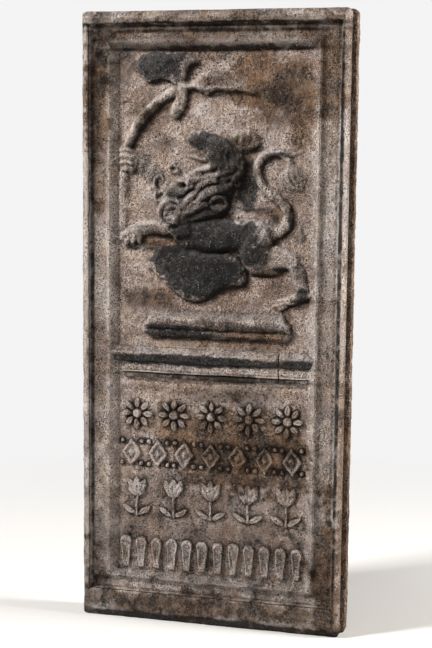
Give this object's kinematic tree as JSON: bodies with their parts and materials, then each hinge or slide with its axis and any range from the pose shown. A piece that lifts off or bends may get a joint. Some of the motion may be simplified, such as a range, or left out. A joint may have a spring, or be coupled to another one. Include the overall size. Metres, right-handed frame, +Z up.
{
  "type": "cast-iron fireback plate",
  "caption": "Tall cast-iron stove plate used as a fireback: moulded frame, relief of a crowned lion holding a halberd over a cornice, rows of ornament, side grooves.",
  "frame": {"origin": "on the floor, under the middle of the plate", "axes": "+X to the right as seen from the front, +Y to the back, +Z up; the carved face looks to -Y"},
  "size_m": [0.292, 0.036, 0.65],
  "materials": {
    "iron_board": "matt, pitted, warm grey with dark specks",
    "iron_frame": "matt warm grey with brown stains",
    "iron_relief": "matt, rubbed lighter on the high parts",
    "iron_patina": "dark blue-grey patina, slight sheen on the high parts",
    "iron_rust": "matt brown rust"
  },
  "bodies": {
    "root": {"back_plate": "iron_board", "rim_top": "iron_frame", "rim_bottom": "iron_frame", "rim_left": "iron_frame", "rim_right": "iron_frame", "moulding_top": "iron_frame", "moulding_bottom": "iron_frame", "moulding_left": "iron_frame", "moulding_right": "iron_frame", "edge_rail_top": "iron_rust", "edge_rail_bottom": "iron_rust", "edge_rail_left": "iron_rust", "edge_rail_right": "iron_rust", "groove_stops": "iron_rust", "cornice_stick": "iron_patina", "cornice_frieze": "iron_relief", "cornice_bead": "iron_relief", "cornice_end_stick": "iron_patina", "cornice_end_frieze": "iron_relief", "cornice_end_bead": "iron_relief", "ground_bar": "iron_patina", "halberd_shaft": "iron_relief", "halberd_blade": "iron_patina", "halberd_fluke": "iron_relief", "halberd_langet": "iron_relief", "lion_far_hind_leg": "iron_patina", "lion_body": "iron_patina", "lion_haunch": "iron_patina", "lion_near_hind_leg": "iron_relief", "lion_near_hind_foot": "iron_relief", "lion_tail": "iron_relief", "lion_tail_tuft": "iron_relief", "lion_mane": "iron_patina", "lion_mane_curls": "iron_patina", "lion_head": "iron_patina", "lion_lower_jaw": "iron_patina", "lion_crown": "iron_relief", "lion_raised_foreleg": "iron_relief", "lion_raised_paw": "iron_relief", "lion_lower_foreleg": "iron_relief", "lion_lower_paw": "iron_relief", "rosette_row": "iron_relief", "lozenge_row": "iron_relief", "tulip_row": "iron_relief", "tongue_row": "iron_relief"}
  },
  "joints": []
}
